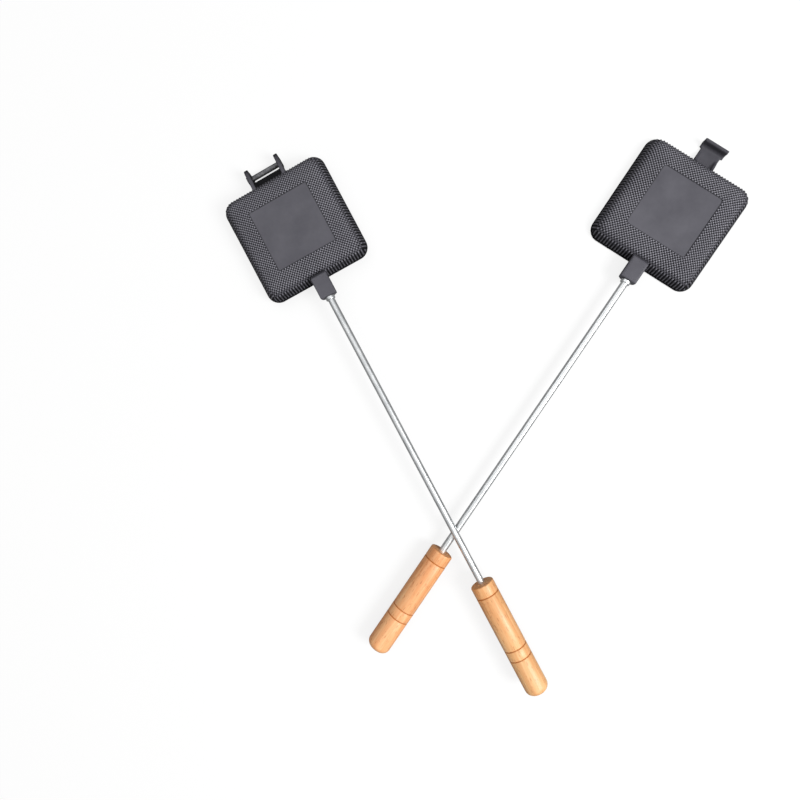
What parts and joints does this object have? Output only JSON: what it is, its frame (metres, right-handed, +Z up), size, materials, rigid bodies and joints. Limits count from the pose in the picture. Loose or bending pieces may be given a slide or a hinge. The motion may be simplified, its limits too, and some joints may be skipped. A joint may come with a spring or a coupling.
{
  "type": "pie iron",
  "caption": "Hinged cast-iron sandwich iron: square halves on long steel rods with turned wooden handles, unhooked and crossed.",
  "frame": {"origin": "middle of the whole object's box at floor level", "axes": "+Z up from the floor, +Y towards the plates and away from the handles, +X to the right seen from above"},
  "size_m": [0.5326, 0.564, 0.0339],
  "materials": {
    "cast_iron": "satin, seasoned casting",
    "rod_steel": "bright plated rod",
    "handle_wood": "varnished, burnt grooves",
    "pin_steel": "dark satin"
  },
  "bodies": {
    "root": {"hook_rod": "rod_steel", "hook_rod_collar": "rod_steel", "hook_handle": "handle_wood"},
    "hook_casting": {"hook_plate": "cast_iron"},
    "carrying_pin": {"hook_handle_pin": "pin_steel"},
    "hinge_pin": {"hinge_pin": "pin_steel"},
    "pin_half": {"pin_plate": "cast_iron", "pin_rod": "rod_steel", "pin_rod_collar": "rod_steel", "pin_handle": "handle_wood", "pin_handle_pin": "pin_steel"}
  },
  "joints": [
    {"name": "turn_over", "type": "hinge", "parent": "root", "child": "hook_casting", "pos_m": [0.14537, 0.1385, 0.0145], "axis": [0.5519, 0.8339, 0], "range_deg": [0, 180]},
    {"name": "swing", "type": "hinge", "parent": "root", "child": "carrying_pin", "pos_m": [-0.05222, -0.16003, 0.0145], "axis": [0, 0, -1], "range_deg": [0, 60.56]},
    {"name": "rise", "type": "hinge", "parent": "carrying_pin", "child": "hinge_pin", "pos_m": [1.2604, 3.5841, -1.3839], "axis": [-0.3958, -0.2063, -0.8949], "range_deg": [0, 1.05]},
    {"name": "open", "type": "hinge", "parent": "hinge_pin", "child": "pin_half", "pos_m": [-0.22536, 0.26012, 0.00499], "axis": [-0.8829, -0.4695, 0], "range_deg": [0, 100]}
  ],
  "couplings": [
    {"joint": "rise", "follows": "swing", "ratio": 0.017292}
  ]
}
